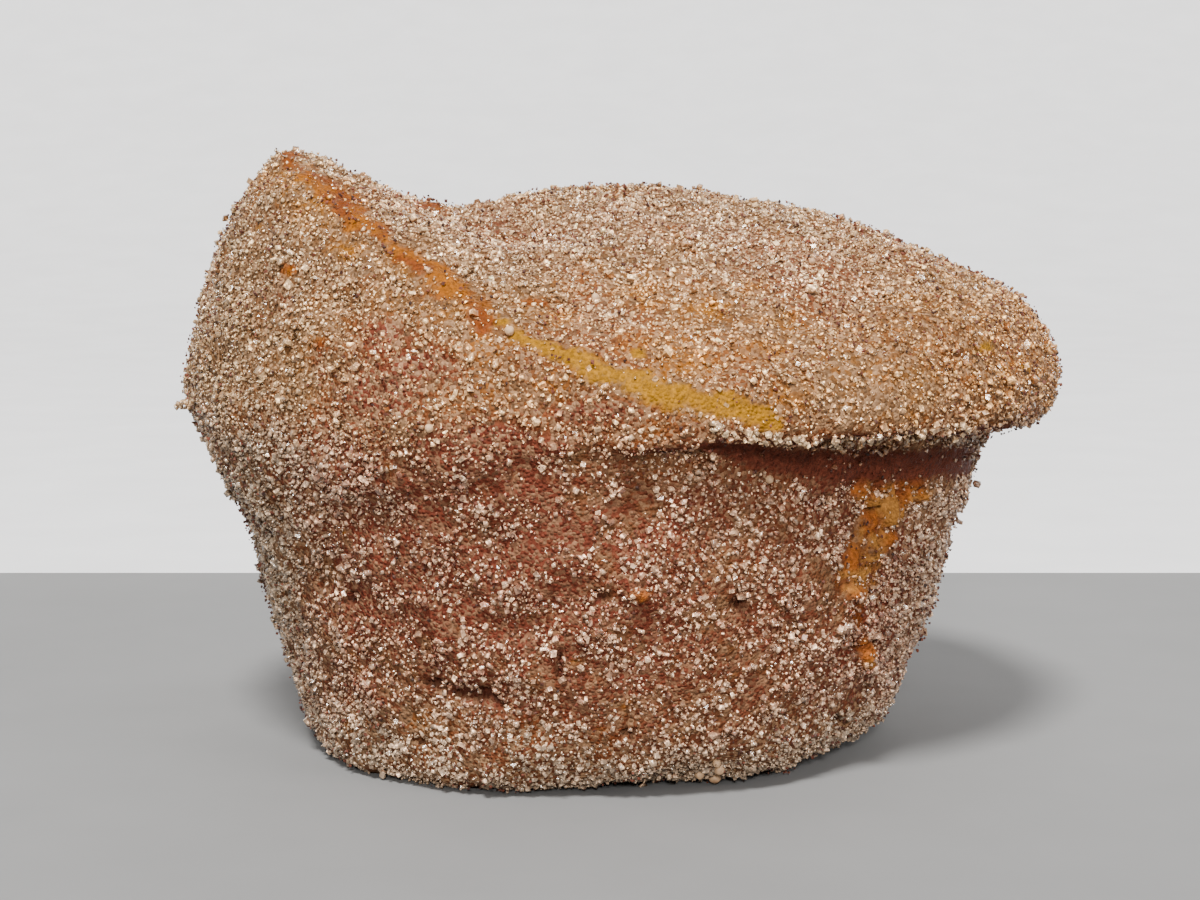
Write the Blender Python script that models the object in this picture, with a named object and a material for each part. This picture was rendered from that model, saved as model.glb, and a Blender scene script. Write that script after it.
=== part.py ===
"""A french breakfast puff: a small muffin rolled in butter and cinnamon sugar, as one solid.

Metres, +Z up. The origin is the middle of the flat foot that it stands on. -Y is the front, where
a ridge runs down from the raised peak on the left (-X) to the overhanging lip on the right (+X).
Each direction round the axis has its own profile, which goes from the edge of the foot up the wall,
round the lip, over the shoulder and in across the crown. Lumps, dents and a torn patch follow.
"""

import math

import bmesh
import bpy
import numpy as np
from mathutils import noise

MM = 0.001

# Body, as the muffin tin shaped it. The wall leans out most on the right, and bends into the foot
# by a rounded corner, whose height is a share of its width.
BASE_RADIUS = 26.25 * MM
BASE_SHIFT = 0.65 * MM
WALL_LEAN = math.radians(17.9)
LEAN_CHANGE = math.radians(2.5)
CORNER_SHARE = 0.95
MIDDLE_OF_WALL = 0.55

# The cap hangs over a drawn-in neck in one direction, and swells gently elsewhere. The drawn-in
# neck is narrower than the hanging lip. Each pair says how far out and how far up a point lies on
# the way from the neck to the lip, or from the lip to the shoulder.
OVERHANG_TOWARDS = math.radians(-55.0)
OVERHANG_FOCUS = 2
NECK_FOCUS = 8
NECK_TUCK = 3.0 * MM
GENTLE_UNDERSIDE = (0.40, 0.38)
HANGING_UNDERSIDE = (0.84, 0.24)
UPPER_LIP = (0.24, 0.50)

# The free-formed outline, in degrees from +X and millimetres. The foot is the flat part of the
# bottom, the neck is where the wall ends, the lip is the widest ring of the cap and the shoulder is
# where the cap turns inwards.
OUTLINE = (
    # direction, foot radius, neck height, lip radius, lip height, shoulder radius, shoulder height
    (-160.0, 23.8, 21.5, 37.4, 32.4, 29.8, 52.8),
    (-140.0, 24.2, 22.0, 36.3, 32.2, 29.6, 49.6),
    (-122.0, 23.2, 24.4, 35.9, 32.6, 30.9, 45.9),
    (-107.0, 20.6, 27.4, 35.9, 33.2, 33.0, 41.6),
    (-90.0, 18.4, 29.4, 36.3, 33.6, 34.6, 38.0),
    (-75.0, 17.6, 30.4, 37.7, 33.3, 36.0, 37.6),
    (-55.0, 18.2, 30.4, 39.8, 32.7, 36.8, 39.0),
    (-30.0, 19.2, 29.8, 41.2, 33.2, 37.3, 41.6),
    (0.0, 19.2, 28.6, 41.7, 32.9, 37.3, 42.2),
    (40.0, 19.6, 27.8, 40.8, 32.2, 37.0, 42.6),
    (68.0, 20.6, 27.4, 39.0, 33.4, 35.2, 42.2),
    (97.0, 21.2, 26.0, 39.4, 31.8, 34.8, 43.4),
    (125.0, 22.6, 24.6, 37.6, 32.8, 32.8, 44.6),
    (152.0, 23.6, 23.0, 38.0, 32.2, 31.2, 48.6),
    (176.0, 23.8, 22.0, 37.9, 32.4, 30.6, 52.4),
)

# Crown: a flattened dome, and the bumps and hollows on it as place, spread both ways, height
CROWN_HEIGHT = 51.3 * MM
CROWN_ROUNDNESS = 1.75
CROWN_STEPS = 7
CROWN_SHAPES = (
    (-27.0, -7.0, 3.6, 9.0, 1.5),
    (-8.0, -9.0, 8.0, 8.0, -4.6),
    (-17.0, 7.0, 7.0, 10.0, -3.0),
    (-14.0, 27.0, 6.0, 5.0, 0.8),
)

# Dents in the wall, in degrees and millimetres. The second is the torn patch, with crags in it.
WALL_DENTS = (
    # direction, height, half width in degrees, half height, depth, height of the crags
    (-111.5, 9.3, 7.0, 0.9, 0.9, 0.0),
    (-43.0, 21.0, 12.0, 5.6, 0.9, 0.9),
    (-95.0, 17.3, 3.0, 1.2, 0.6, 0.0),
    (-47.0, 11.0, 4.0, 2.0, 0.7, 0.3),
)
CRAG_SIZE = 2.8 * MM

# Size and height of the lumps that cover the whole skin, and the gap they keep under them
LUMPS = ((13.0 * MM, 0.50 * MM), (5.5 * MM, 0.35 * MM), (3.0 * MM, 0.22 * MM))
LOWEST_LUMP = 0.05 * MM

# How finely the skin is divided
DIRECTIONS = 104
RINGS = 50
CURVE_STEPS = 12


def round_the_axis(angle, column):
    """One column of OUTLINE in metres, at each angle, as a smooth closed curve through its directions."""
    towards = np.radians([row[0] for row in OUTLINE])
    values = np.array([row[column] for row in OUTLINE]) * MM
    towards = np.concatenate([towards[-2:] - 2 * math.pi, towards, towards[:2] + 2 * math.pi])
    values = np.concatenate([values[-2:], values, values[:2]])
    slopes = np.gradient(values, towards)
    first = towards[2]
    angle = (angle - first) % (2 * math.pi) + first
    i = np.searchsorted(towards, angle, side="right") - 1
    width = towards[i + 1] - towards[i]
    t = (angle - towards[i]) / width
    start = values[i] * (1 + 2 * t) * (1 - t) ** 2 + slopes[i] * width * t * (1 - t) ** 2
    end = values[i + 1] * (3 - 2 * t) * t**2 + slopes[i + 1] * width * (t - 1) * t**2
    return start + end


def wall_point(angle, height):
    lean = WALL_LEAN + LEAN_CHANGE * np.cos(angle)
    return BASE_RADIUS - BASE_SHIFT * np.cos(angle) + height * np.tan(lean), height


def part_way(start, end, shares):
    """The point that lies the given shares of the way out and up from start to end."""
    return tuple(a + share * (b - a) for a, b, share in zip(start, end, shares))


def crown_height(x, y, dome):
    """Height of the crown at a place, from the height of a plain dome there."""
    height = dome
    for place_x, place_y, spread_x, spread_y, rise in CROWN_SHAPES:
        across = (x / MM - place_x) / spread_x
        along = (y / MM - place_y) / spread_y
        height = height + rise * MM * np.exp(-(across**2) - along**2)
    return height


def corner_points(foot, wall_start):
    """A quarter ellipse from the edge of the foot to the start of the wall, at every 30 degrees."""
    points = []
    for turn in np.radians([0.0, 30.0, 60.0, 90.0]):
        points.append(part_way((foot, 0.0 * foot), wall_start, (math.sin(turn), 1.0 - math.cos(turn))))
    return points


def profile_points(angle):
    """Points of the profiles, as radius and height. The first only gives the direction at the foot."""
    foot, neck_height, *cap = (round_the_axis(angle, i) for i in range(1, 7))
    lip = tuple(cap[:2])
    shoulder = tuple(cap[2:])
    towards = (1.0 + np.cos(angle - OVERHANG_TOWARDS)) / 2.0
    overhang = towards**OVERHANG_FOCUS
    neck = (wall_point(angle, neck_height)[0] - NECK_TUCK * towards**NECK_FOCUS, neck_height)
    underside = part_way(GENTLE_UNDERSIDE, HANGING_UNDERSIDE, (overhang, overhang))
    points = [(0.5 * foot, 0.0 * foot)]
    points += corner_points(foot, wall_point(angle, CORNER_SHARE * (BASE_RADIUS - foot)))
    points += [
        wall_point(angle, MIDDLE_OF_WALL * neck_height),
        neck,
        part_way(neck, lip, underside),
        lip,
        part_way(lip, shoulder, UPPER_LIP),
        shoulder,
    ]
    for share in np.linspace(1.0, 0.0, CROWN_STEPS + 1)[1:]:
        radius = shoulder[0] * share
        dome = shoulder[1] + (CROWN_HEIGHT - shoulder[1]) * (1.0 - share**CROWN_ROUNDNESS)
        points.append((radius, crown_height(radius * np.cos(angle), radius * np.sin(angle), dome)))
    return np.array([[radius, height] for radius, height in points])


def smooth_through(before, points, after, steps):
    """A Catmull-Rom curve through the points, which comes from before and heads for after."""
    knots = [before, *points, after]
    t = np.linspace(0.0, 1.0, CURVE_STEPS, endpoint=False)[:, None]
    pieces = []
    for a, b, c, d in zip(knots, knots[1:], knots[2:], knots[3:]):
        bend = (2 * a - 5 * b + 4 * c - d) * t**2 + (3 * b - a - 3 * c + d) * t**3
        pieces.append(b + 0.5 * ((c - a) * t + bend))
    curve = np.concatenate([*pieces, points[-1:]])
    length = np.concatenate([[0.0], np.cumsum(np.linalg.norm(np.diff(curve, axis=0), axis=1))])
    at = np.linspace(0.0, length[-1], steps)
    return np.stack([np.interp(at, length, curve[:, i]) for i in range(2)], axis=1)


def skin_rings():
    """Points of the smooth skin: RINGS rings of DIRECTIONS points, from the foot's edge to the crown."""
    angles = np.linspace(-math.pi, math.pi, DIRECTIONS, endpoint=False)
    knots = profile_points(angles)
    rings = np.zeros((RINGS, DIRECTIONS, 3))
    for i, angle in enumerate(angles):
        # In the middle of the crown the profile runs on into the one opposite
        opposite = knots[-2, :, i - DIRECTIONS // 2] * (-1.0, 1.0)
        profile = smooth_through(knots[0, :, i], knots[1:, :, i], opposite, RINGS)
        rings[:, i, 0] = profile[:, 0] * math.cos(angle)
        rings[:, i, 1] = profile[:, 0] * math.sin(angle)
        rings[:, i, 2] = np.maximum(profile[:, 1], 0.0)
    return rings


def skin_relief(place):
    """How far the lumps, dents and crags move the skin outwards at a place."""
    rise = 0.0
    for size, height in LUMPS:
        rise += height * noise.noise(place / size)
    angle = math.degrees(math.atan2(place.y, place.x))
    for towards, level, half_width, half_height, depth, crags in WALL_DENTS:
        across = ((angle - towards + 180.0) % 360.0 - 180.0) / half_width
        up = (place.z / MM - level) / half_height
        crag = crags * noise.noise(place / CRAG_SIZE)
        rise += (crag - depth) * MM * math.exp(-(across**2) - up**2)
    return rise


def add_relief(bm):
    """Moves each point of the skin along its normal; the foot stays flat."""
    bm.normal_update()
    moves = [(v, v.normal * skin_relief(v.co)) for v in bm.verts if v.co.z > 0.0]
    for v, move in moves:
        v.co += move
        v.co.z = max(v.co.z, LOWEST_LUMP)


def crumb_crust():
    """Browned, sugared crust, in its mean colour."""
    material = bpy.data.materials.new("sugared_crust")
    material.use_nodes = True
    shader = material.node_tree.nodes["Principled BSDF"]
    shader.inputs["Base Color"].default_value = (0.36, 0.19, 0.11, 1.0)
    shader.inputs["Roughness"].default_value = 0.85
    shader.inputs["Metallic"].default_value = 0.0
    return material


def make_puff():
    rings = skin_rings()
    bm = bmesh.new()
    loops = [[bm.verts.new(point) for point in ring] for ring in rings[:-1]]
    crown = bm.verts.new(rings[-1].mean(axis=0))
    bm.faces.new(reversed(loops[0]))
    for i in range(DIRECTIONS):
        j = (i + 1) % DIRECTIONS
        for low, high in zip(loops, loops[1:]):
            bm.faces.new((low[i], low[j], high[j], high[i]))
        bm.faces.new((loops[-1][i], loops[-1][j], crown))
    add_relief(bm)
    mesh = bpy.data.meshes.new("puff")
    bm.to_mesh(mesh)
    bm.free()
    mesh.shade_smooth()
    mesh.materials.append(crumb_crust())
    puff = bpy.data.objects.new("puff", mesh)
    bpy.context.scene.collection.objects.link(puff)
    return puff


def main():
    for obj in list(bpy.data.objects):
        bpy.data.objects.remove(obj)
    make_puff()


main()
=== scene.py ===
"""Looks of the french breakfast puff: browned crust, torn crumb, and its coat of sugar and cinnamon."""

import math

import bmesh
import bpy
import numpy as np
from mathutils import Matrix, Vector
from mathutils.bvhtree import BVHTree


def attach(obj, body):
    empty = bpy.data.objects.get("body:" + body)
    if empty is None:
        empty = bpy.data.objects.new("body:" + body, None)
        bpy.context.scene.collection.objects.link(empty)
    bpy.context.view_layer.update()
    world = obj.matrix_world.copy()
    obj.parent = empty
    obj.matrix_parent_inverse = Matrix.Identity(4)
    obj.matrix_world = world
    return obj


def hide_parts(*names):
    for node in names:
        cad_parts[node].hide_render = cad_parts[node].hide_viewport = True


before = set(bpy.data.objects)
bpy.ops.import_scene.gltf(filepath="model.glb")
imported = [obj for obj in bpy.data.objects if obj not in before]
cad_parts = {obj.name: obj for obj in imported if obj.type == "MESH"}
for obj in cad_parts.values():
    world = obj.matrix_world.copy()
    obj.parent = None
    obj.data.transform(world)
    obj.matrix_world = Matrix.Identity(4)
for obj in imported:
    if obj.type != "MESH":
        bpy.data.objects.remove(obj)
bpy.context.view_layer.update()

MM = 0.001
rng = np.random.default_rng(11)

# Camera, as the photograph was taken, for an image of 1200 x 900 pixels
IMAGE_WIDTH = 1200
IMAGE_HEIGHT = 900
FOCAL_PIXELS = 2715.0
SENSOR_MM = 36.0
CAMERA_PLACE = (0.0, -0.250, 0.057)
CAMERA_PITCH = math.radians(6.9)

# Crust. It lies a little inside the solid, so that the sugar on it reaches the solid's outline
VOXEL = 0.60 * MM
SOFTENING = 6
CRUST_DEPTH = 0.22 * MM
CRUST_LUMPS = ((4.2 * MM, 0.24 * MM), (1.9 * MM, 0.18 * MM), (1.05 * MM, 0.11 * MM))
FLAT_FOOT = 0.15 * MM
WELD_GAP = 0.001 * MM
CRAG_DEPTH = 0.65 * MM
CRAG_RISE = 0.20 * MM
PIT_DEPTH = 0.75 * MM

# Sugar
COARSE_GRAIN = 0.40 * MM
FINE_GRAIN = 0.32 * MM
SMALL_GRAIN = 0.28 * MM
COARSE_SHARE = (0.10, 0.16)
SMALL_SHARE = 0.45
GRAIN_SPREAD = 0.18
GRAIN_STRETCH = ((1.0, 1.3), (0.8, 1.0), (0.6, 0.9))
CORNER_SHRINK = (-0.30, 0.12)
CORNER_SHIFT = 0.08
GRAIN_SPACING = 0.40 * MM
TRIANGLES_A_PIECE = 195000
SCATTERED_GRAINS = 560000
LAYER_LIFTS = (0.15, 0.72, 1.25)
HEAP_SHARES = (0.60, 0.25)
GRAIN_CONTRAST = 0.34
SMOOTH_GRAINS = 0.5
FLOOR_GAP = 0.02 * MM
GRAIN_FOOT = 0.25 * MM

# A grain's gleam, a painted highlight, grows with height over its middle, and its sunk part takes the
# crust's colour, as painted see-through and painted shade where it sits
GLEAM_MIDDLE = 0.10
GLEAM_RISE = 0.62
SUNK_MIDDLE = 0.15
SUNK_FALL = 1.1
MOST_SUNK = 0.85

# Cinnamon
SCATTERED_SPECKS = 15000
MOST_SPECKS = 8400
SPECK_SIZE = 0.23 * MM
SPECK_SPREAD = 0.35
SPECK_CONTRAST = 0.1
SPECK_FOOT = 0.5 * MM
SPECK_LIFT = (0.20, 0.60)

# Materials: lumps and cells to the metre, the range that most of a noise lies in, and bump heights
CRUMB_NOISE = 2800.0
DUST_CELLS = 3000.0
SUGAR_NOISE = 5200.0
SUGAR_CELLS = 5000.0
SPECK_NOISE = 4000.0
PALE_CRUMB_NOISE = 2400.0
STAGE_NOISE = 60.0
NOISE_RANGE = (0.3, 0.7)
CRUST_BUMP = 0.22 * MM
SUGAR_BUMP = 0.06 * MM
PALE_CRUMB_BUMP = 0.10 * MM

# Stage
FLOOR_REACH = 6.0
FLOOR_BACK = 0.091
COVE_START = 0.45
COVE_RADIUS = 0.80
COVE_STEPS = 24
WALL_TOP = 1.6
FLOOR_COLOUR = (0.205, 0.205, 0.205)
BACKDROP_COLOUR = (0.85, 0.85, 0.86)

# Lights: name, place, size, power and colour
LIGHT_TARGET = (0.0, 0.0, 0.028)
LIGHTS = (
    ("flash", (0.0, -2.00, 0.75), 0.25, 33.0, (1.0, 0.985, 0.96)),
    ("key", (-0.25, -1.50, 2.10), 0.50, 132.0, (1.0, 0.985, 0.96)),
    ("fill", (2.10, -1.70, 1.50), 1.25, 30.0, (1.0, 0.99, 0.98)),
    ("top", (0.40, -0.40, 2.75), 2.00, 18.0, (1.0, 1.0, 1.0)),
)
SURROUNDING_LIGHT = 0.15

# Linear colours
# The gleams are painted highlight colours, blended into the grains' tops and facets
SUGAR_GLEAM = np.array((1.00, 0.69, 0.38))
SUGAR_BODY = np.array((0.36, 0.225, 0.125))
AMBER_GLEAM = np.array((1.00, 0.52, 0.15))
WALL_GLEAM = np.array((1.00, 0.67, 0.42))
WALL_BODY = np.array((0.38, 0.238, 0.150))
STAINED_SUGAR = np.array((0.14, 0.052, 0.020))
GREY_SUGAR = np.array((0.33, 0.252, 0.172))
WARM_TINT = np.array((0.78, 0.69, 0.54))
# Painted shade on the coat's left end
LEFT_SHADE = np.array((0.72, 0.72, 0.70))
# Painted shade on the far part of the cap
FAR_SHADE = np.array((0.84, 0.86, 0.86))
BEIGE_CRUST = np.array((0.120, 0.058, 0.025))
BROWN_CRUST = np.array((0.128, 0.049, 0.020))
CINNAMON_CRUST = np.array((0.126, 0.030, 0.016))
RUST_CRUST = np.array((0.150, 0.034, 0.006))
ORANGE_CRUST = np.array((0.22, 0.062, 0.004))
AMBER_CRUST = np.array((0.32, 0.118, 0.010))
GOLD_CRUST = np.array((0.26, 0.116, 0.006))
TORN_CRUMB = np.array((0.34, 0.145, 0.032))
# Near-black painted shade for the pits and cracks
PIT_SHADE = np.array((0.030, 0.008, 0.005))
CINNAMON = np.array((0.085, 0.021, 0.009))
SUGAR_DUST = (0.24, 0.140, 0.075, 1.0)

# Uneven patterns: the lumps' size in mm, a seed, and whether finer lumps are added
PATTERNS = {
    "ragged edge": (2.0, 31, True),
    "fine edge": (0.9, 32, True),
    "crags": (1.5, 21, False),
    "cap line": (6.0, 41, False),
    "packed edge": (5.0, 42, False),
    "warm edge": (6.0, 43, False),
    "golden edge": (5.0, 44, False),
    "left edge": (5.0, 45, False),
    "broad crust": (9.0, 61, True),
    "fine crust": (1.3, 62, True),
    "torn crust": (1.6, 63, False),
    "warm crust": (5.0, 64, True),
    "mottled orange": (2.0, 65, True),
    "broad cover": (3.2, 71, True),
    "fine cover": (1.3, 72, False),
    "heaps": (2.0, 73, True),
    "stain": (3.0, 81, True),
    "fine shade": (1.2, 83, True),
    "broad shade": (4.0, 84, True),
    "specks": (4.0, 91, False),
    "crumb stain": (0.8, 95, True),
}

# How far the edges of zones sway, in mm
SWAY = {"cap line": 1.2, "packed edge": 1.5, "warm edge": 2.0, "golden edge": 2.5, "left edge": 2.0}

# Where zones begin and where they are full, in mm along one axis, or against it
ZONES = {
    "cap": (27.0, 35.0),
    "golden": (-47.0, -39.0),
    "left": (16.0, 34.0),
    "packed left": (20.0, 30.0),
    "packed right": (20.0, 29.0),
    "packed foot": (-10.0, -2.5),
    "warm right": (14.0, 34.0),
    "warm back": (-12.0, 14.0),
    "far": (-10.0, 10.0),
    "lip": (22.0, 26.0),
}
LIP_TILT = (0.65, 0.95)

# Share of the first layer of sugar, and of the finest sugar, that each kind of patch lacks
COVER_LOSS = {
    "gold": 0.90, "orange": 0.76, "amber": 0.35, "rust": 0.45, "torn": 0.72, "pit": 0.95, "shade": 0.95,
}
DUST_LOSS = {"gold": 0.95, "orange": 0.95, "torn": 0.95, "pit": 0.95, "shade": 0.95}

# Bands of bare crust, as lines of photograph pixels, each point with a half width in mm
BANDS = {
    "orange": (
        ((290, 162, 1.0), (310, 175, 1.2), (332, 193, 1.5), (356, 214, 1.5), (380, 232, 1.0)),
        ((380, 232, 1.0), (398, 249, 0.9), (420, 264, 1.5), (446, 280, 1.4), (466, 292, 0.9)),
        ((466, 292, 0.9), (478, 304, 1.5), (484, 320, 1.3)),
        ((486, 318, 0.8), (506, 322, 0.7), (522, 336, 0.7)),
    ),
    "gold": (
        (
            (502, 318, 0.6), (522, 336, 0.7), (546, 347, 0.9), (570, 356, 1.1), (594, 366, 1.4),
            (610, 374, 0.9),
        ),
        (
            (626, 376, 0.9), (646, 386, 1.4), (672, 393, 1.3), (700, 402, 1.0), (726, 404, 1.6),
            (744, 410, 1.4),
        ),
        ((744, 410, 1.2), (762, 416, 1.0), (776, 424, 0.6)),
    ),
    "torn": (
        ((862, 488, 1.2), (890, 494, 1.7), (920, 492, 1.3)),
        ((888, 512, 2.1), (880, 538, 2.1), (866, 562, 1.8), (852, 586, 1.4)),
    ),
    # The shade band: bare crust under the lip, painted darker there as the lip's shadow
    "shade": (
        (
            (705, 445, 0.4), (740, 453, 0.9), (790, 463, 1.3), (850, 468, 1.5), (910, 466, 1.6),
            (965, 462, 1.5),
        ),
    ),
    "pit": (
        ((418, 681, 0.25), (449, 690, 0.40), (470, 695, 0.60), (488, 697, 0.50), (505, 709, 0.35)),
        ((562, 650, 0.25), (558, 664, 0.45), (561, 676, 0.30)),
    ),
}

# Patches, as photograph pixels with half widths and half heights in mm
PATCHES = {
    "orange": (
        (535, 299, 1.0, 0.5), (427, 206, 1.9, 0.6), (288, 268, 0.7, 0.6), (320, 345, 0.6, 0.6),
        (868, 650, 0.8, 1.2), (858, 616, 0.8, 1.3),
    ),
    "amber": (
        (640, 345, 3.2, 1.3), (690, 362, 3.8, 1.3), (760, 350, 3.0, 1.3), (790, 396, 2.6, 1.2),
        (985, 345, 1.2, 0.9), (1010, 365, 1.0, 0.8), (752, 287, 1.8, 0.7), (905, 420, 2.0, 0.7),
        (560, 318, 1.6, 0.9), (715, 308, 2.8, 1.0), (780, 318, 2.2, 1.0), (345, 250, 1.6, 1.2),
        (300, 210, 1.2, 1.2), (330, 205, 2.2, 1.8), (288, 175, 1.6, 1.2), (400, 262, 1.9, 1.4),
        (450, 300, 2.0, 1.4), (640, 300, 2.4, 1.0),
    ),
    "rust": (
        (375, 395, 4.0, 2.2), (470, 440, 4.4, 1.3), (385, 335, 2.0, 1.4), (318, 360, 1.4, 2.0),
        (600, 412, 5.0, 0.9), (280, 300, 1.2, 2.0), (540, 455, 3.0, 1.0), (425, 365, 3.0, 1.6),
    ),
    "gold": ((638, 352, 1.0, 0.6), (987, 347, 0.9, 0.6), (1030, 362, 0.7, 0.8)),
    "torn": ((866, 652, 0.7, 1.3), (640, 596, 0.6, 0.5)),
    "pit": (
        (600, 598, 1.0, 0.5), (875, 508, 0.9, 0.35), (842, 722, 0.9, 0.5), (628, 736, 1.0, 0.4),
        (856, 648, 0.5, 0.5), (872, 688, 0.7, 0.4), (740, 606, 0.9, 0.5), (900, 498, 0.3, 0.9),
        (348, 600, 0.8, 0.5), (420, 742, 0.8, 0.4),
    ),
    "thin": (
        (540, 500, 3.4, 2.6), (610, 565, 2.6, 2.2), (490, 590, 2.2, 2.4), (640, 610, 2.4, 1.8),
        (560, 530, 3.0, 2.0), (720, 690, 3.4, 1.8), (800, 590, 2.6, 2.4), (700, 500, 3.6, 1.6),
        (380, 410, 2.6, 2.0), (560, 690, 2.6, 2.2), (430, 320, 1.8, 1.6), (820, 610, 2.4, 2.2),
        (330, 620, 2.0, 1.6),
    ),
    "thick": (
        (905, 560, 3.4, 5.0), (885, 610, 3.0, 4.0), (770, 495, 4.0, 1.8), (590, 640, 3.0, 1.6),
        (330, 470, 4.0, 4.0), (590, 430, 4.0, 1.0), (450, 440, 4.0, 2.0), (700, 620, 3.0, 1.4),
        (390, 760, 4.0, 1.2), (640, 770, 4.0, 1.0),
    ),
}
EDGE_ROOM = 4.0 * MM

# Pixels between the spots of a band, for each mm of its half width
SPOT_SPACING = 8.0

# Where each kind of patch begins and is full, and its shares of the ragged and the fine unevenness
PATCH_EDGES = {
    "gold": (0.36, 0.66, 1.0, 1.0),
    "orange": (0.30, 0.78, 1.2, 1.2),
    "torn": (0.36, 0.62, 1.0, 0.0),
    "pit": (0.30, 0.75, 0.0, 0.5),
    "shade": (0.20, 0.60, 0.3, 0.0),
}

# Loose things, as photograph pixels with sizes in mm
LIP_EDGE = ((712, 430), (745, 438), (790, 443), (840, 444), (890, 441), (935, 435), (968, 429))
LIP_HANG = (-8.0, 2.0)
LIP_GRAINS = 120
LIP_STAND = 0.5
LIP_SIZES = (0.8, 1.35)
SPUR = ((199, 401), (198, 408))
SPUR_GRAINS = 26
SPUR_STAND = 0.2
SPUR_SIZES = (0.7, 1.2)
SPUR_REACH = (0.5, 1.9)
CRUMBS = (
    (510, 333, 0.40), (700, 771, 0.42), (707, 776, 0.50), (715, 773, 0.52), (720, 766, 0.44),
    (716, 760, 0.36), (768, 478, 0.34), (430, 428, 0.36), (596, 300, 0.34), (812, 264, 0.30),
    (905, 300, 0.32),
)


def hashed(cells, seed):
    """A number from 0 to 1 for each row of whole numbers."""
    x, y, z = cells.astype(np.int64).T
    n = x * 374761393 + y * 668265263 + z * 1442695041 + seed * 97531
    n = (n ^ (n >> 13)) * 1274126177
    return ((n ^ (n >> 16)) & 0xFFFFFF) / float(0xFFFFFF)


def cloud(points, size, seed):
    """Smooth noise from about -1 to 1, whose lumps have the given size."""
    scaled = points / size + seed * 7.31
    cell = np.floor(scaled)
    t = scaled - cell
    t = t * t * (3.0 - 2.0 * t)
    total = np.zeros(len(points))
    for dx in (0, 1):
        for dy in (0, 1):
            for dz in (0, 1):
                weight = np.abs(1 - dx - t[:, 0]) * np.abs(1 - dy - t[:, 1]) * np.abs(1 - dz - t[:, 2])
                total += weight * hashed(cell + (dx, dy, dz), seed)
    return (2.0 * total - 1.0) * 1.5


def clouds(points, size, seed):
    """Noise in two sizes, the second half as large."""
    return 0.67 * cloud(points, size, seed) + 0.33 * cloud(points, size * 0.5, seed + 50)


def pattern(points, name):
    """One of the uneven patterns, from about -1 to 1."""
    size, seed, doubled = PATTERNS[name]
    return (clouds if doubled else cloud)(points, size * MM, seed)


def sway(points, name):
    """How far a zone's edge sways at each point."""
    return SWAY[name] * MM * pattern(points, name)


def step_up(value, low, high):
    """0 below low, 1 above high, and a smooth rise between."""
    t = np.clip((value - low) / (high - low), 0.0, 1.0)
    return t * t * (3.0 - 2.0 * t)


def zone(along_axis, name):
    """0 before a zone, 1 in it, and a smooth rise between."""
    low, high = ZONES[name]
    return step_up(along_axis, low * MM, high * MM)


def blend_colour(a, b, share):
    share = np.asarray(share)[:, None]
    return a * (1.0 - share) + b * share


# Camera


def make_camera():
    data = bpy.data.cameras.new("camera")
    data.sensor_fit = "HORIZONTAL"
    data.sensor_width = SENSOR_MM
    data.lens = FOCAL_PIXELS / IMAGE_WIDTH * SENSOR_MM
    data.clip_start = 0.01
    camera = bpy.data.objects.new("camera", data)
    camera.location = CAMERA_PLACE
    camera.rotation_euler = (math.radians(90.0) - CAMERA_PITCH, 0.0, 0.0)
    bpy.context.scene.collection.objects.link(camera)
    bpy.context.scene.camera = camera


def pixel_ray(x, y):
    """Direction from the camera through a pixel of the photograph."""
    right = (x - IMAGE_WIDTH / 2) / FOCAL_PIXELS
    up = (IMAGE_HEIGHT / 2 - y) / FOCAL_PIXELS
    forward_y = math.cos(CAMERA_PITCH) + up * math.sin(CAMERA_PITCH)
    forward_z = up * math.cos(CAMERA_PITCH) - math.sin(CAMERA_PITCH)
    return Vector((right, forward_y, forward_z)).normalized()


def to_pixels(points):
    """Pixels of the photograph at which points lie, and the size of a pixel there."""
    gap = points - CAMERA_PLACE
    forward = gap[:, 1] * math.cos(CAMERA_PITCH) - gap[:, 2] * math.sin(CAMERA_PITCH)
    up = gap[:, 1] * math.sin(CAMERA_PITCH) + gap[:, 2] * math.cos(CAMERA_PITCH)
    x = IMAGE_WIDTH / 2 + FOCAL_PIXELS * gap[:, 0] / forward
    y = IMAGE_HEIGHT / 2 - FOCAL_PIXELS * up / forward
    return x, y, forward / FOCAL_PIXELS


def on_skin(tree, x, y):
    """Point and normal of the skin that shows at a pixel of the photograph."""
    place, normal, _, _ = tree.ray_cast(Vector(CAMERA_PLACE), pixel_ray(x, y))
    return np.array(place), np.array(normal)


# Crust


def link(obj):
    bpy.context.scene.collection.objects.link(obj)
    return obj


def evaluated_mesh(obj):
    depsgraph = bpy.context.evaluated_depsgraph_get()
    return bpy.data.meshes.new_from_object(obj.evaluated_get(depsgraph))


def smooth_skin():
    """The puff's solid as an even, fine mesh with its facets smoothed away."""
    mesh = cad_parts["puff"].data.copy()
    mesh.materials.clear()
    bm = bmesh.new()
    bm.from_mesh(mesh)
    bmesh.ops.remove_doubles(bm, verts=bm.verts, dist=WELD_GAP)
    bm.to_mesh(mesh)
    bm.free()
    skin = link(bpy.data.objects.new("crust", mesh))
    remesh = skin.modifiers.new("remesh", "REMESH")
    remesh.mode = "VOXEL"
    remesh.voxel_size = VOXEL
    soften = skin.modifiers.new("soften", "SMOOTH")
    soften.factor = 0.5
    soften.iterations = SOFTENING
    fine = evaluated_mesh(skin)
    skin.modifiers.clear()
    skin.data = fine
    bpy.data.meshes.remove(mesh)
    return skin


def read_array(collection, name, shape, dtype=np.float32):
    values = np.zeros(shape, dtype=dtype).ravel()
    collection.foreach_get(name, values)
    return values.reshape(shape)


def skin_tree(mesh):
    corners = [v.co[:] for v in mesh.vertices]
    return BVHTree.FromPolygons(corners, [tuple(p.vertices) for p in mesh.polygons])


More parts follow.
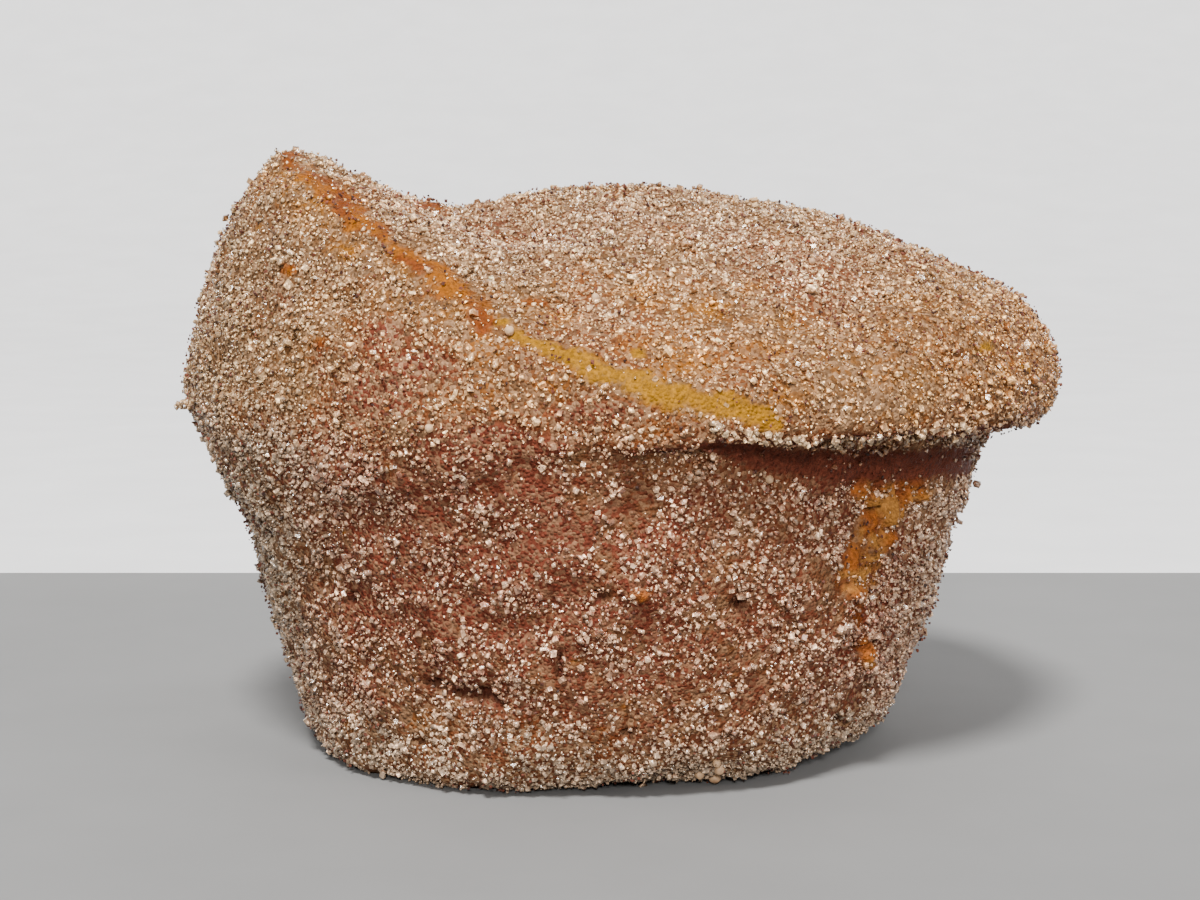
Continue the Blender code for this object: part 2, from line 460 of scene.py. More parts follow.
def band_spots(line):
    """Round spots close together along a band."""
    spots = []
    for (x0, y0, half0), (x1, y1, half1) in zip(line, line[1:]):
        steps = max(2, math.ceil(math.hypot(x1 - x0, y1 - y0) / (SPOT_SPACING * min(half0, half1))))
        for t in np.linspace(0.0, 1.0, steps):
            half = half0 + t * (half1 - half0)
            spots.append((x0 + t * (x1 - x0), y0 + t * (y1 - y0), half, half))
    return spots


def find_places(tree):
    """For each kind of patch its spots: where on the skin, at which pixel, and how wide and high."""
    places = {}
    for kind in ("orange", "amber", "rust", "gold", "torn", "pit", "thin", "thick", "shade"):
        pixels = list(PATCHES.get(kind, ()))
        for line in BANDS.get(kind, ()):
            pixels += band_spots(line)
        places[kind] = [(on_skin(tree, x, y)[0], x, y, across * MM, up * MM) for x, y, across, up in pixels]
    return places


def near(points, spots):
    """1 in the middle of the nearest spot as the photograph shows it, falling to 0 outside them all."""
    best = np.zeros(len(points))
    x, y, pixel = to_pixels(points)
    for centre, spot_x, spot_y, across, up in spots:
        flat = ((x - spot_x) * pixel / across) ** 2 + ((y - spot_y) * pixel / up) ** 2
        reach = EDGE_ROOM + 3.0 * max(across, up)
        close = 1.0 - step_up(np.linalg.norm(points - centre, axis=1), 0.6 * reach, reach)
        best = np.maximum(best, np.exp(-flat) * close)
    return best


def find_marks(points, places):
    """How much each patch of the photograph holds at each point, from 0 to 1."""
    ragged = 0.26 * pattern(points, "ragged edge")
    fine = 0.24 * pattern(points, "fine edge")
    marks = {}
    for kind, (low, high, ragged_share, fine_share) in PATCH_EDGES.items():
        edge = near(points, places[kind]) + ragged_share * ragged + fine_share * fine
        marks[kind] = step_up(edge, low, high)
    for kind in ("amber", "rust", "thin", "thick"):
        marks[kind] = near(points, places[kind])
    marks["amber"] = np.maximum(marks["amber"], 0.34 * cap_edge(points) * (1.0 - left_share(points)))
    return marks


def relief(points, marks):
    """How far the crust's roughness moves each point of the skin outwards."""
    rise = np.zeros(len(points))
    for seed, (size, height) in enumerate(CRUST_LUMPS):
        rise += height * cloud(points, size, seed + 1)
    crags = 1.0 - np.abs(pattern(points, "crags")) * 2.0
    rise += marks["torn"] * (CRAG_RISE - CRAG_DEPTH * crags)
    rise -= PIT_DEPTH * marks["pit"]
    return rise * (1.0 - 0.6 * marks["gold"])


def under_lip(points, normals):
    """1 on the shaded underside of the overhanging lip, where the coat is thinner and the crust and grains
    are painted darker as shade.
    """
    return step_up(-normals[:, 2], *LIP_TILT) * zone(points[:, 2], "lip")


def wall_share(points):
    """1 on the wall that the tin shaped, 0 on the cap."""
    return 1.0 - zone(points[:, 2] + sway(points, "cap line"), "cap")


def cap_edge(points):
    """1 on the lower half of the cap, where the coat is more golden, 0 on its top."""
    return zone(sway(points, "golden edge") - points[:, 2], "golden") * (1.0 - wall_share(points))


def left_share(points):
    """1 on the left end, where the coat is painted duller and darker, as shade."""
    return zone(sway(points, "left edge") - points[:, 0], "left")


def packed_share(points):
    """1 where grey-beige sugar is packed: on the wall's left end and foot, and less on its right end."""
    ragged = sway(points, "packed edge")
    left = zone(ragged - points[:, 0], "packed left")
    right = 0.55 * zone(ragged + points[:, 0], "packed right")
    low = 0.9 * zone(ragged - points[:, 2], "packed foot")
    return np.maximum(np.maximum(left, right) * wall_share(points), low)


def warm_share(points):
    """1 towards the right and the back of the cap, where the coat is browner."""
    ragged = sway(points, "warm edge")
    right = zone(points[:, 0] + ragged, "warm right")
    back = zone(points[:, 1] + ragged, "warm back")
    return np.maximum(right, back) * (1.0 - wall_share(points))


def crust_colour(points, normals, marks):
    broad = 0.5 + 0.5 * pattern(points, "broad crust")
    fine = 0.5 + 0.5 * pattern(points, "fine crust")
    mottled = 0.5 + 0.5 * pattern(points, "mottled orange")
    wall = wall_share(points)
    brown = step_up(fine + 0.5 * (broad - 0.5) + 0.9 * wall, 0.35, 0.85)
    colour = blend_colour(BEIGE_CRUST, BROWN_CRUST, brown)
    warm = 0.9 * marks["amber"] + 0.5 * step_up(pattern(points, "warm crust"), 0.1, 0.9)
    warm = np.clip(warm, 0.0, 0.9) * step_up(fine + 0.3 * broad, 0.30, 0.75)
    colour = blend_colour(colour, AMBER_CRUST * 0.8, warm)
    reddish = 0.15 + 0.85 * wall + 0.9 * (broad - 0.5) - 0.6 * packed_share(points) + 0.9 * marks["rust"]
    reddish = np.clip(reddish, 0.0, 1.0) * step_up(fine + 0.4 * broad, 0.20, 0.65)
    colour = blend_colour(colour, CINNAMON_CRUST, reddish)
    rusty = step_up(mottled + 0.5 * (fine - 0.5), 0.35, 0.75)
    orange = blend_colour(ORANGE_CRUST * (1.1, 1.18, 1.0), RUST_CRUST, rusty)
    colour = blend_colour(colour, orange, 0.95 * marks["orange"])
    pale = step_up(pattern(points, "torn crust"), -0.4, 0.4)
    torn = blend_colour(TORN_CRUMB * (0.9, 0.6, 0.5), TORN_CRUMB, pale)
    between_crags = step_up(-pattern(points, "crags") ** 2, -0.10, 0.0)
    torn = blend_colour(torn, CINNAMON_CRUST, 0.8 * between_crags)
    colour = blend_colour(colour, torn, marks["torn"])
    colour = blend_colour(colour, GOLD_CRUST, marks["gold"])
    # Painted shade: the pits are near black
    colour = blend_colour(colour, PIT_SHADE, 0.70 * marks["pit"])
    # Painted shade: under the lip and in the shade band the crust is darkened to a deeper cinnamon
    shaded = np.maximum(marks["shade"], under_lip(points, normals))
    return blend_colour(colour, CINNAMON_CRUST * 0.8, shaded)


def set_colours(mesh, name, colours, domain):
    layer = mesh.color_attributes.new(name, "FLOAT_COLOR", domain)
    rgba = np.ones((len(colours), 4), dtype=np.float32)
    rgba[:, :3] = np.clip(colours, 0.0, 1.0)
    layer.data.foreach_set("color", rgba.ravel())


# Materials


class Nodes:
    """A material's node tree, with short ways to add to it."""

    def __init__(self, name):
        self.material = bpy.data.materials.new(name)
        self.material.use_nodes = True
        self.tree = self.material.node_tree
        self.shader = self.tree.nodes["Principled BSDF"]

    def add(self, kind, **values):
        node = self.tree.nodes.new(kind)
        for name, value in values.items():
            setattr(node, name, value)
        return node

    def link(self, source, target):
        self.tree.links.new(source, target)

    def noise(self, scale, detail=3.0, roughness=0.55):
        node = self.add("ShaderNodeTexNoise")
        coords = self.add("ShaderNodeTexCoord")
        self.link(coords.outputs["Object"], node.inputs["Vector"])
        node.inputs["Scale"].default_value = scale
        node.inputs["Detail"].default_value = detail
        node.inputs["Roughness"].default_value = roughness
        return node.outputs["Fac"]

    def to_range(self, value, low, high, to_low, to_high):
        node = self.add("ShaderNodeMapRange")
        self.link(value, node.inputs["Value"])
        names = ("From Min", "From Max", "To Min", "To Max")
        for name, number in zip(names, (low, high, to_low, to_high)):
            node.inputs[name].default_value = number
        return node.outputs["Result"]

    def spread(self, noise, to_low, to_high):
        """A noise's usual range stretched to another one."""
        return self.to_range(noise, *NOISE_RANGE, to_low, to_high)

    def times(self, a, b):
        node = self.add("ShaderNodeMath", operation="MULTIPLY")
        self.link(a, node.inputs[0])
        self.link(b, node.inputs[1])
        return node.outputs[0]

    def mix(self, blend, factor, a, b):
        node = self.add("ShaderNodeMix", data_type="RGBA", blend_type=blend)
        for socket, value in zip((node.inputs[0], node.inputs[6], node.inputs[7]), (factor, a, b)):
            if hasattr(value, "is_output"):
                self.link(value, socket)
            else:
                socket.default_value = value
        return node.outputs[2]

    def attribute(self, name):
        return self.add("ShaderNodeVertexColor", layer_name=name).outputs["Color"]

    def grey(self, value):
        """A number as a grey colour."""
        node = self.add("ShaderNodeCombineColor")
        for i in range(3):
            self.link(value, node.inputs[i])
        return node.outputs["Color"]

    def cells(self, scale):
        """For packed uneven cells: a random number in each, another one, and the way to its middle."""
        node = self.add("ShaderNodeTexVoronoi")
        coords = self.add("ShaderNodeTexCoord")
        self.link(coords.outputs["Object"], node.inputs["Vector"])
        node.inputs["Scale"].default_value = scale
        split = self.add("ShaderNodeSeparateColor")
        self.link(node.outputs["Color"], split.inputs["Color"])
        return split.outputs["Red"], split.outputs["Green"], node.outputs["Distance"]

    def shaded(self, colour, shade):
        """A colour made lighter and darker by a number."""
        return self.mix("MULTIPLY", 1.0, colour, self.grey(shade))

    def bump(self, height, distance, strength):
        node = self.add("ShaderNodeBump")
        node.inputs["Distance"].default_value = distance
        node.inputs["Strength"].default_value = strength
        self.link(height, node.inputs["Height"])
        self.link(node.outputs["Normal"], self.shader.inputs["Normal"])


def crust_material():
    """Browned crumb, with the finest sugar packed between the grains."""
    nodes = Nodes("sugared_crust")
    crumb = nodes.noise(CRUMB_NOISE, 4.0, 0.65)
    colour = nodes.shaded(nodes.attribute("tone"), nodes.spread(crumb, 0.50, 1.50))
    pale, present, middle = nodes.cells(DUST_CELLS)
    sugar = nodes.shaded(SUGAR_DUST, nodes.to_range(pale, 0.0, 1.0, 0.35, 1.9))
    share = nodes.times(nodes.to_range(present, 0.40, 0.50, 0.0, 1.0), nodes.attribute("dust"))
    nodes.link(nodes.mix("MIX", share, colour, sugar), nodes.shader.inputs["Base Color"])
    nodes.link(nodes.spread(crumb, 0.45, 0.70), nodes.shader.inputs["Roughness"])
    nodes.shader.inputs["Specular IOR Level"].default_value = 0.06
    heaped = nodes.to_range(middle, 0.0, 0.6, 1.0, 0.0)
    grainy = nodes.times(heaped, nodes.spread(crumb, 0.6, 1.0))
    nodes.bump(grainy, CRUST_BUMP, 0.9)
    return nodes.material


def sugar_material(name):
    """Crystals as pale and stained as each one's own colour says, with painted glints: cells of the colour
    made up to three times lighter.
    """
    nodes = Nodes(name)
    cloudy = nodes.noise(SUGAR_NOISE, 2.0)
    inside, _, _ = nodes.cells(SUGAR_CELLS)
    painted_glints = nodes.to_range(inside, 0.70, 0.94, 1.0, 3.0)
    shade = nodes.times(nodes.spread(cloudy, 0.60, 1.30), painted_glints)
    nodes.link(nodes.shaded(nodes.attribute("tone"), shade), nodes.shader.inputs["Base Color"])
    nodes.link(nodes.spread(cloudy, 0.08, 0.22), nodes.shader.inputs["Roughness"])
    nodes.shader.inputs["IOR"].default_value = 1.56
    nodes.shader.inputs["Specular IOR Level"].default_value = 0.8
    nodes.bump(cloudy, SUGAR_BUMP, 0.6)
    return nodes.material


def speck_material():
    nodes = Nodes("cinnamon")
    shade = nodes.spread(nodes.noise(SPECK_NOISE, 3.0), 0.7, 1.25)
    nodes.link(nodes.shaded(nodes.attribute("tone"), shade), nodes.shader.inputs["Base Color"])
    nodes.shader.inputs["Roughness"].default_value = 0.7
    return nodes.material


def crumb_material():
    nodes = Nodes("pale_crumb")
    grain = nodes.noise(PALE_CRUMB_NOISE, 4.0)
    shade = nodes.spread(grain, 0.8, 1.15)
    nodes.link(nodes.shaded(nodes.attribute("tone"), shade), nodes.shader.inputs["Base Color"])
    nodes.shader.inputs["Roughness"].default_value = 0.55
    nodes.bump(grain, PALE_CRUMB_BUMP, 0.7)
    return nodes.material


# Scattered grains


def triangles_of(mesh):
    mesh.calc_loop_triangles()
    return read_array(mesh.loop_triangles, "vertices", (len(mesh.loop_triangles), 3), np.int32)


class Skin:
    """The finished crust as arrays, for scattering things over it."""

    def __init__(self, mesh):
        self.points = read_array(mesh.vertices, "co", (len(mesh.vertices), 3)).astype(float)
        self.normals = read_array(mesh.vertices, "normal", (len(mesh.vertices), 3)).astype(float)
        self.triangles = triangles_of(mesh)
        a, b, c = (self.points[self.triangles[:, i]] for i in range(3))
        self.areas = 0.5 * np.linalg.norm(np.cross(b - a, c - a), axis=1)

    def scatter(self, count):
        """Random places, spread evenly by area: points and unit normals."""
        chosen = rng.choice(len(self.triangles), count, p=self.areas / self.areas.sum())
        u = rng.random((count, 1))
        v = rng.random((count, 1))
        over = (u + v) > 1.0
        u = np.where(over, 1.0 - u, u)
        v = np.where(over, 1.0 - v, v)
        a, b, c = (self.triangles[chosen, i] for i in range(3))
        points = self.points[a] * (1 - u - v) + self.points[b] * u + self.points[c] * v
        normals = self.normals[a] * (1 - u - v) + self.normals[b] * u + self.normals[c] * v
        return points, normals / np.linalg.norm(normals, axis=1)[:, None]


def spread_out(points, spacing):
    """Indices of at most one point in each cell of a grid, so that they don't crowd."""
    cells = np.floor(points / spacing).astype(np.int64)
    key = cells[:, 0] * 1000003 + cells[:, 1] * 1009 + cells[:, 2]
    _, first = np.unique(key, return_index=True)
    return np.sort(first)


def random_turns(count):
    """Random rotation matrices."""
    q = rng.normal(size=(count, 4))
    w, x, y, z = (q / np.linalg.norm(q, axis=1)[:, None]).T
    rows = (
        (1 - 2 * (y * y + z * z), 2 * (x * y - z * w), 2 * (x * z + y * w)),
        (2 * (x * y + z * w), 1 - 2 * (x * x + z * z), 2 * (y * z - x * w)),
        (2 * (x * z - y * w), 2 * (y * z + x * w), 1 - 2 * (x * x + y * y)),
    )
    return np.stack([np.stack(row, axis=1) for row in rows], axis=1)


# A boxy crystal, a broken one with a corner towards each side, and a wedge
BOX = (
    np.array([(x, y, z) for x in (-0.5, 0.5) for y in (-0.5, 0.5) for z in (-0.5, 0.5)]),
    np.array(((0, 1, 3, 2), (4, 6, 7, 5), (0, 4, 5, 1), (2, 3, 7, 6), (0, 2, 6, 4), (1, 5, 7, 3))),
)
SHARD = (
    np.array([(0.62, 0, 0), (-0.62, 0, 0), (0, 0.62, 0), (0, -0.62, 0), (0, 0, 0.62), (0, 0, -0.62)]),
    np.array(((0, 2, 4), (2, 1, 4), (1, 3, 4), (3, 0, 4), (2, 0, 5), (1, 2, 5), (3, 1, 5), (0, 3, 5))),
)
WEDGE = (
    np.array([(0, 0, 0.60), (0, 0, -0.60), (0.60, 0, 0), (-0.35, 0.52, 0), (-0.35, -0.52, 0)]),
    np.array(((0, 2, 3), (0, 3, 4), (0, 4, 2), (1, 3, 2), (1, 4, 3), (1, 2, 4))),
)
GRAIN_KINDS = (("coarse", BOX, COARSE_GRAIN), ("fine", SHARD, FINE_GRAIN), ("small", WEDGE, SMALL_GRAIN))


def crystals(name, shape, grains, contrast, smooth_share):
    """Crystals with uneven corners. Each has its own colour, painted paler at the top as a highlight and
    darker where it sits as shade.
    """
    shape_corners, shape_faces = shape
    centres, sizes = grains["centre"], grains["size"]
    per_grain = len(shape_corners)
    sides, side_corners = shape_faces.shape
    count = len(centres)
    stretch = np.stack([rng.uniform(low, high, count) for low, high in GRAIN_STRETCH], 1)
    corners = shape_corners[None] * (1.0 + rng.uniform(*CORNER_SHRINK, (count, per_grain, 3)))
    corners += rng.uniform(-CORNER_SHIFT, CORNER_SHIFT, corners.shape)
    corners = corners * (stretch * sizes[:, None])[:, None, :]
    corners = np.einsum("nij,nkj->nki", random_turns(count), corners)
    height = np.einsum("nki,ni->nk", corners, grains["normal"]) / sizes[:, None]
    corners += centres[:, None, :]
    corners[:, :, 2] = np.maximum(corners[:, :, 2], FLOOR_GAP)
    faces = shape_faces[None] + per_grain * np.arange(count)[:, None, None]
    loops = sides * side_corners * count
    mesh = bpy.data.meshes.new(name)
    mesh.vertices.add(per_grain * count)
    mesh.vertices.foreach_set("co", corners.ravel())
    mesh.loops.add(loops)
    mesh.loops.foreach_set("vertex_index", faces.ravel().astype(np.int32))
    mesh.polygons.add(sides * count)
    mesh.polygons.foreach_set("loop_start", np.arange(0, loops, side_corners, dtype=np.int32))
    mesh.polygons.foreach_set("use_smooth", np.repeat(rng.random(count) < smooth_share, sides))
    mesh.update(calc_edges=True)
    up = height[:, shape_faces].reshape(count, -1, 1)
    # Each facet gets a random share of the painted highlight, standing in for light caught inside the
    # crystal
    side = np.repeat(contrast * rng.normal(size=(count, sides)), side_corners, axis=1)[:, :, None]
    gleam = np.clip(GLEAM_MIDDLE + GLEAM_RISE * up + side, 0.0, 1.0)
    sunk = np.clip(SUNK_MIDDLE - SUNK_FALL * up, 0.0, MOST_SUNK)
    colours = grains["body"][:, None, :] * (1.0 - gleam) + grains["gleam"][:, None, :] * gleam
    colours = colours * (1.0 - sunk) + grains["below"][:, None, :] * sunk
    set_colours(mesh, "tone", colours.reshape(-1, 3), "CORNER")
    return link(bpy.data.objects.new(name, mesh))


def finish_piece(piece, material, replaces_node=False):
    piece.data.materials.append(material)
    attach(piece, "root")
    if replaces_node:
        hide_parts("puff")


def sugar_cover(points, normals, marks):
    """Share of the skin that the first layer of sugar hides."""
    wall = wall_share(points)
    cover = 0.92 - 0.20 * wall + 0.30 * packed_share(points)
    cover += 0.34 * pattern(points, "broad cover") * (0.55 + 0.85 * wall)
    cover += 0.40 * pattern(points, "fine cover") * (0.55 + 1.05 * wall)
    cover += 0.30 * marks["thick"] - 0.22 * marks["thin"] * (1.0 - marks["thick"])
    for kind, loss in COVER_LOSS.items():
        cover *= 1.0 - loss * marks[kind]
    cover *= 1.0 - 0.60 * under_lip(points, normals)
    return np.clip(cover, 0.0, 1.0)


def grain_colours(points, normals, marks, below):
    """Body and gleam of each grain: pale where it is clean, brown where butter and cinnamon stain it. The
    gleam is a painted highlight, and grains under the lip, on the left end and far on the cap are painted
    darker as shade.
    """
    count = len(points)
    wall = wall_share(points)
    packed = packed_share(points)
    stain = 0.12 + 0.12 * wall + 0.30 * pattern(points, "stain") + 0.28 * rng.normal(size=count)
    # Its shares from the shade band and the lip's underside are painted shade
    stain += 0.35 * marks["orange"] + 0.15 * marks["torn"] + 0.5 * marks["shade"] + 0.25 * marks["rust"]
    stain = np.clip(stain + 0.4 * under_lip(points, normals), 0.0, 1.0)
    body = blend_colour(blend_colour(SUGAR_BODY, WALL_BODY, wall), STAINED_SUGAR, stain)
    # Each grain's body takes some of the crust's colour, painted as if seen through the crystal
    body = blend_colour(body, below * 1.3, np.clip(rng.normal(0.45, 0.30, count), 0.0, 0.95))
    body = blend_colour(body, GREY_SUGAR, 0.8 * packed)
    body = blend_colour(body, AMBER_CRUST, 0.75 * marks["amber"])
    gleam = blend_colour(SUGAR_GLEAM, WALL_GLEAM, wall)
    gleam = blend_colour(gleam, AMBER_GLEAM, 0.8 * marks["amber"])
    gleam = gleam * np.clip(rng.normal(1.0, 0.2, (count, 1)), 0.4, 1.3)
    clear = (0.30 + 0.35 * wall) * rng.random(count)
    gleam = blend_colour(gleam, body * 1.25, np.clip(0.5 * stain + 0.5 * packed + clear, 0.0, 0.9))
    tint = blend_colour(np.ones(3), WARM_TINT, warm_share(points))
    # Painted shade on the left end
    tint = tint * blend_colour(np.ones(3), LEFT_SHADE, left_share(points))
    # Painted shade on the far part of the cap
    tint = tint * blend_colour(np.ones(3), FAR_SHADE, zone(points[:, 1], "far") * (1.0 - wall))
    shade = 0.26 * pattern(points, "fine shade") + 0.14 * pattern(points, "broad shade")
    mottle = np.exp(shade)[:, None]
    return body * tint * mottle, gleam * tint * mottle


def joined(parts):
    return {name: np.concatenate([part[name] for part in parts]) for name in parts[0]}


def strewn_grains(skin, places):
    """The coat: a first layer, thick or thin, and heaps of a second and third layer on it."""
    points, normals = skin.scatter(SCATTERED_GRAINS)
    keep = spread_out(points, GRAIN_SPACING)
    points, normals = points[keep], normals[keep]
    marks = find_marks(points, places)
    cover = sugar_cover(points, normals, marks)
    standing = (points[:, 2] > GRAIN_FOOT) | (normals[:, 2] > -0.5)
    first = standing & (rng.random(len(points)) < cover)
    heap = step_up(pattern(points, "heaps") + 0.3 * marks["thick"], 0.0, 0.6) * step_up(cover, 0.45, 0.9)
    second = first & (rng.random(len(points)) < HEAP_SHARES[0] * heap)
    third = second & (rng.random(len(points)) < HEAP_SHARES[1] * heap)
    layers = (first, second, third)
    chosen = np.concatenate([np.flatnonzero(layer) for layer in layers])
    lift = np.repeat(LAYER_LIFTS, [np.count_nonzero(layer) for layer in layers])
    count = len(chosen)
    points, normals = points[chosen], normals[chosen]
    marks = {name: values[chosen] for name, values in marks.items()}
    draw = rng.random(count)
    coarse_share = COARSE_SHARE[0] + (COARSE_SHARE[1] - COARSE_SHARE[0]) * wall_share(points)
    kind = np.where(draw < coarse_share, 0, np.where(draw > 1.0 - SMALL_SHARE, 2, 1))
    sizes = np.array([size for _, _, size in GRAIN_KINDS])[kind]
    sizes = sizes * np.exp(GRAIN_SPREAD * rng.normal(size=count))
    drift = rng.normal(scale=0.16 * FINE_GRAIN, size=(count, 3))
    below = crust_colour(points, normals, marks)
    body, gleam = grain_colours(points, normals, marks, below)
    return {
        "centre": points + normals * (lift * sizes)[:, None] + drift,
        "normal": normals,
        "size": sizes,
        "kind": kind,
        "below": below,
        "body": body,
        "gleam": gleam,
    }


def placed_grains(tree, pixels, spread, sizes):
    """Pale, coarse grains on the skin at pixels of the photograph, standing out by up to spread."""
    count = len(pixels)
    hits = [on_skin(tree, x, y) for x, y in pixels]
    points = np.array([hit[0] for hit in hits])
    normals = np.array([hit[1] for hit in hits])
    out = normals * rng.uniform(0.0, spread, (count, 1))
    return {
        "centre": points + out,
        "normal": normals,
        "size": sizes,
        "kind": np.zeros(count, dtype=int),
        "below": np.tile(BROWN_CRUST, (count, 1)),
        "body": SUGAR_BODY * rng.uniform(0.5, 1.1, (count, 1)),
        "gleam": SUGAR_GLEAM * rng.uniform(0.45, 0.95, (count, 1)),
    }


def along(line, share):
    """Pixels part of the way along a line of pixels."""
    x, y = np.array(line, dtype=float).T
    at = np.concatenate([[0.0], np.cumsum(np.hypot(np.diff(x), np.diff(y)))])
    return np.interp(share * at[-1], at, x), np.interp(share * at[-1], at, y)


def edge_grains(tree):
    """Grains that hang on the lower edge of the lip, and the spur of grains on the left."""
    x, y = along(LIP_EDGE, rng.random(LIP_GRAINS))
    y = y + rng.uniform(*LIP_HANG, LIP_GRAINS)
    sizes = COARSE_GRAIN * rng.uniform(*LIP_SIZES, LIP_GRAINS)
    lip = placed_grains(tree, list(zip(x, y)), LIP_STAND * MM, sizes)
    x, y = along(SPUR, rng.random(SPUR_GRAINS))
    sizes = FINE_GRAIN * rng.uniform(*SPUR_SIZES, SPUR_GRAINS)
    spur = placed_grains(tree, list(zip(x, y)), SPUR_STAND * MM, sizes)
    spur["centre"][:, 0] -= rng.uniform(SPUR_REACH[0] * MM, SPUR_REACH[1] * MM, SPUR_GRAINS)
    return [lip, spur]


def add_sugar(skin, tree, places):
    grains = joined([strewn_grains(skin, places), *edge_grains(tree)])
    material = sugar_material("sugar")
    height_order = np.argsort(grains["centre"][:, 2], kind="stable")
    for number, (kind, shape, _) in enumerate(GRAIN_KINDS):
        order = height_order[grains["kind"][height_order] == number]
        triangles = len(shape[1]) * (shape[1].shape[1] - 2)
        parts = math.ceil(len(order) * triangles / TRIANGLES_A_PIECE)
        for i, part in enumerate(np.array_split(order, parts)):
            some = {name: values[part] for name, values in grains.items()}
            piece = crystals(f"sugar_{kind}_{i + 1}", shape, some, GRAIN_CONTRAST, SMOOTH_GRAINS)
            finish_piece(piece, material)


def add_cinnamon(skin):
    points, normals = skin.scatter(SCATTERED_SPECKS)
    busy = step_up(pattern(points, "specks"), -0.5, 0.6)
    keep = (rng.random(len(points)) < 0.15 + 0.85 * busy) & (points[:, 2] > SPECK_FOOT)
    points, normals = points[keep][:MOST_SPECKS], normals[keep][:MOST_SPECKS]
    count = len(points)
    tone = CINNAMON * rng.uniform(0.3, 2.0, (count, 1))
    specks = {
        "centre": points + normals * (rng.uniform(*SPECK_LIFT, count) * MM)[:, None],
        "normal": normals,
        "size": SPECK_SIZE * np.exp(SPECK_SPREAD * np.clip(rng.normal(size=count), -2.0, 1.2)),
        "body": tone,
        "gleam": tone,
        "below": tone,
    }
    finish_piece(crystals("cinnamon_specks", SHARD, specks, SPECK_CONTRAST, 0.0), speck_material())


def add_crumbs(tree):
    """Small pale crumbs that stick to the coat."""
    bm = bmesh.new()
    for x, y, radius in CRUMBS:
        place, normal = on_skin(tree, x, y)
        new = bmesh.ops.create_icosphere(bm, subdivisions=3, radius=radius * MM)["verts"]
        for v in new:
            v.co = v.co * rng.uniform(0.94, 1.06) + Vector(place + 0.8 * radius * MM * normal)
            v.co.z = max(v.co.z, FLOOR_GAP)
    mesh = bpy.data.meshes.new("crumbs")
    bm.to_mesh(mesh)
    bm.free()
    mesh.shade_smooth()
    points = read_array(mesh.vertices, "co", (len(mesh.vertices), 3)).astype(float)
    stained = step_up(pattern(points, "crumb stain"), -0.2, 0.9)
    set_colours(mesh, "tone", blend_colour(SUGAR_BODY * 1.6, STAINED_SUGAR, 0.5 * stained), "POINT")
    finish_piece(link(bpy.data.objects.new("crumbs", mesh)), crumb_material())


# Stage


def stage_material(name, colour):
    nodes = Nodes(name)
    tone = nodes.spread(nodes.noise(STAGE_NOISE, 3.0), 0.97, 1.03)
    nodes.link(nodes.shaded((*colour, 1.0), tone), nodes.shader.inputs["Base Color"])
    nodes.shader.inputs["Roughness"].default_value = 0.9
    return nodes.material


def make_sweep(name, profile, colour):
    """A matt sheet as wide as the stage, along a profile of back and height."""
    corners = [(x, y, z) for y, z in profile for x in (-FLOOR_REACH, FLOOR_REACH)]
    faces = [(2 * i, 2 * i + 1, 2 * i + 3, 2 * i + 2) for i in range(len(profile) - 1)]
    mesh = bpy.data.meshes.new(name)
    mesh.from_pydata(corners, [], faces)
    mesh.shade_smooth()
    sheet = link(bpy.data.objects.new(name, mesh))
    sheet.data.materials.append(stage_material(name, colour))


def make_stage():
    """A pale floor, and a paler one behind it that sweeps up into a wall."""
    make_sweep("floor", [(-FLOOR_REACH, 0.0), (FLOOR_BACK, 0.0)], FLOOR_COLOUR)
    turns = np.linspace(0.0, math.pi / 2, COVE_STEPS)
    cove = [(COVE_START + COVE_RADIUS * math.sin(t), COVE_RADIUS * (1.0 - math.cos(t))) for t in turns]
    profile = [(FLOOR_BACK, 0.0), *cove, (COVE_START + COVE_RADIUS, WALL_TOP)]
    make_sweep("backdrop", profile, BACKDROP_COLOUR)


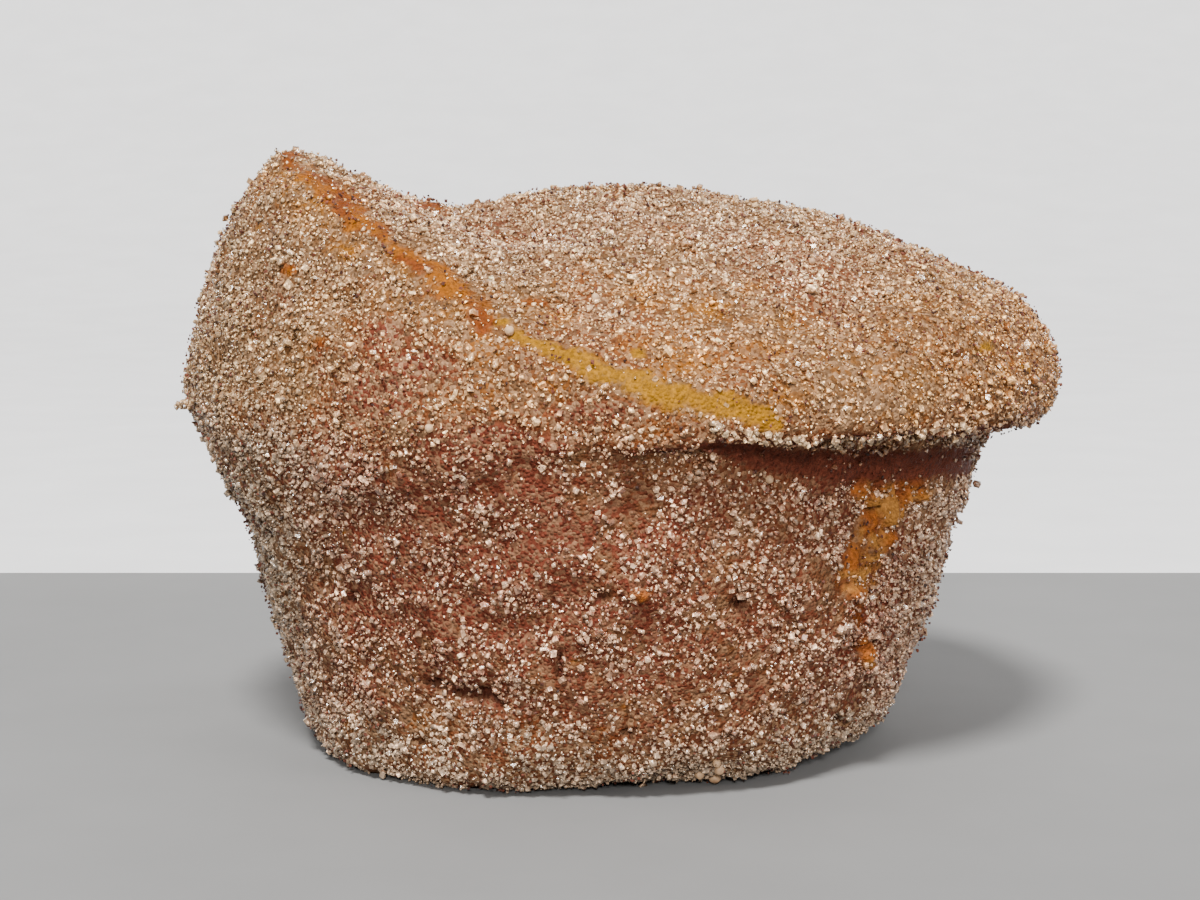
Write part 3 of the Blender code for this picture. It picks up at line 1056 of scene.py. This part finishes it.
def add_light(name, place, size, power, colour):
    data = bpy.data.lights.new(name, "AREA")
    data.shape = "DISK"
    data.size = size
    data.energy = power
    data.color = colour
    lamp = link(bpy.data.objects.new(name, data))
    lamp.location = place
    aim = Vector(LIGHT_TARGET) - Vector(place)
    lamp.rotation_euler = aim.to_track_quat("-Z", "Y").to_euler()


def make_lights():
    for light in LIGHTS:
        add_light(*light)
    world = bpy.data.worlds.new("studio")
    world.use_nodes = True
    background = world.node_tree.nodes["Background"]
    background.inputs["Color"].default_value = (1.0, 1.0, 1.0, 1.0)
    background.inputs["Strength"].default_value = SURROUNDING_LIGHT
    bpy.context.scene.world = world


def finish_crust(crust, places):
    """Sinks and roughens the skin, and colours it."""
    mesh = crust.data
    points = read_array(mesh.vertices, "co", (len(mesh.vertices), 3)).astype(float)
    normals = read_array(mesh.vertices, "normal", (len(mesh.vertices), 3)).astype(float)
    marks = find_marks(points, places)
    rise = relief(points, marks) - CRUST_DEPTH
    rise[points[:, 2] < FLAT_FOOT] = 0.0
    moved = points + normals * rise[:, None]
    moved[:, 2] = np.maximum(moved[:, 2], 0.0)
    mesh.vertices.foreach_set("co", moved.ravel())
    mesh.update()
    set_colours(mesh, "tone", crust_colour(points, normals, marks), "POINT")
    dust = 0.75 * (1.0 - 0.45 * wall_share(points)) * (1.0 - 0.5 * marks["amber"])
    dust = dust + 0.4 * packed_share(points)
    for kind, loss in DUST_LOSS.items():
        dust *= 1.0 - loss * marks[kind]
    # Under the lip there is no pale dust: less sugar there, and darker as painted shade
    dust *= 1.0 - under_lip(points, normals)
    set_colours(mesh, "dust", np.repeat(dust[:, None], 3, axis=1), "POINT")
    mesh.shade_smooth()
    finish_piece(crust, crust_material(), replaces_node=True)


def main():
    make_camera()
    make_stage()
    make_lights()
    crust = smooth_skin()
    places = find_places(skin_tree(crust.data))
    finish_crust(crust, places)
    skin = Skin(crust.data)
    tree = skin_tree(crust.data)
    add_sugar(skin, tree, places)
    add_cinnamon(skin)
    add_crumbs(tree)


main()
